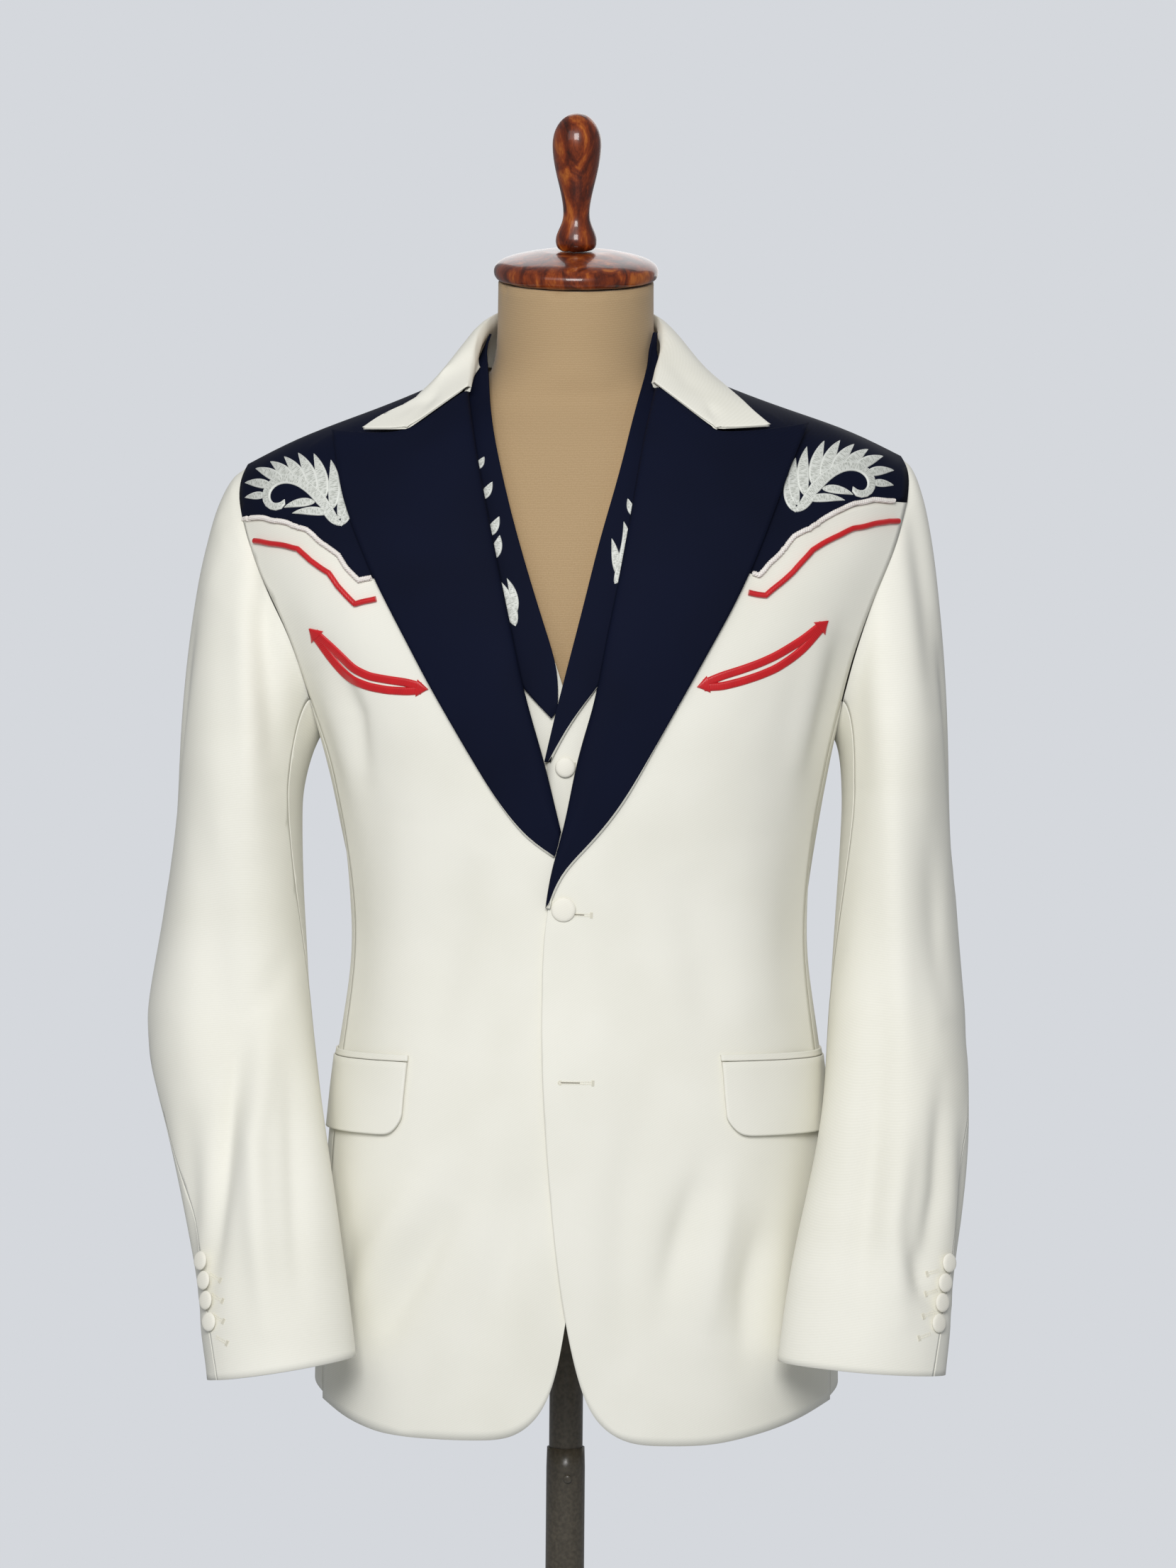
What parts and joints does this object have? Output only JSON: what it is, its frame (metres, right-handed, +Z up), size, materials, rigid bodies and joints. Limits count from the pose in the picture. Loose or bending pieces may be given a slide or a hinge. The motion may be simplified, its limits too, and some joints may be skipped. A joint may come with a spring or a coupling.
{
  "type": "western suit on a dress form",
  "caption": "Two-tone western jacket and waistcoat with peak lapels, stepped yokes and piping, on a limbless dress form with a telescoping stand.",
  "frame": {"origin": "middle of the stand's underside, on the floor under the pole", "axes": "+Z up along the pole, -Y the way the wearer faces, +X the wearer's left"},
  "size_m": [0.5677, 0.36, 1.6115],
  "materials": {
    "cream_wool": "fine worsted",
    "navy_wool": "fine worsted",
    "red_satin": "satin",
    "white_cord": "twisted cord",
    "form_linen": "stretched linen",
    "mahogany": "high-gloss lacquer",
    "black_steel": "gloss black"
  },
  "bodies": {
    "stand": {"base_plate": "black_steel", "outer_pole": "black_steel", "spring_button": "black_steel"},
    "form": {"collar": "cream_wool", "cord_red_back": "red_satin", "cord_red_left": "red_satin", "cord_red_right": "red_satin", "cord_white_back": "white_cord", "cord_white_left": "white_cord", "cord_white_right": "white_cord", "finial": "mahogany", "form_torso": "form_linen", "front_button_lower": "cream_wool", "front_button_top": "cream_wool", "inner_pole": "black_steel", "jacket_back_left": "cream_wool", "jacket_back_right": "cream_wool", "jacket_front_left": "cream_wool", "jacket_front_right": "cream_wool", "jacket_side_left": "cream_wool", "jacket_side_right": "cream_wool", "lapel_left": "navy_wool", "lapel_right": "navy_wool", "neck_cap": "mahogany", "pocket_flap_left": "cream_wool", "pocket_flap_right": "cream_wool", "pocket_jet_left": "cream_wool", "pocket_jet_right": "cream_wool", "sleeve_button_left_1": "cream_wool", "sleeve_button_left_2": "cream_wool", "sleeve_button_left_3": "cream_wool", "sleeve_button_left_4": "cream_wool", "sleeve_button_right_1": "cream_wool", "sleeve_button_right_2": "cream_wool", "sleeve_button_right_3": "cream_wool", "sleeve_button_right_4": "cream_wool", "sleeve_under_left": "cream_wool", "sleeve_under_right": "cream_wool", "sleeve_upper_left": "cream_wool", "sleeve_upper_right": "cream_wool", "smile_pocket_left": "red_satin", "smile_pocket_right": "red_satin", "waistcoat_back": "cream_wool", "waistcoat_button_1": "cream_wool", "waistcoat_button_2": "cream_wool", "waistcoat_button_3": "cream_wool", "waistcoat_button_4": "cream_wool", "waistcoat_button_5": "cream_wool", "waistcoat_front_left": "cream_wool", "waistcoat_front_right": "cream_wool", "waistcoat_lapel_left": "navy_wool", "waistcoat_lapel_right": "navy_wool", "yoke_back": "navy_wool", "yoke_front_left": "navy_wool", "yoke_front_right": "navy_wool"}
  },
  "joints": [
    {"name": "height_slide", "type": "slide", "parent": "stand", "child": "form", "axis": [0, 0, 1], "range_m": [-0.12, 0.25]}
  ]
}
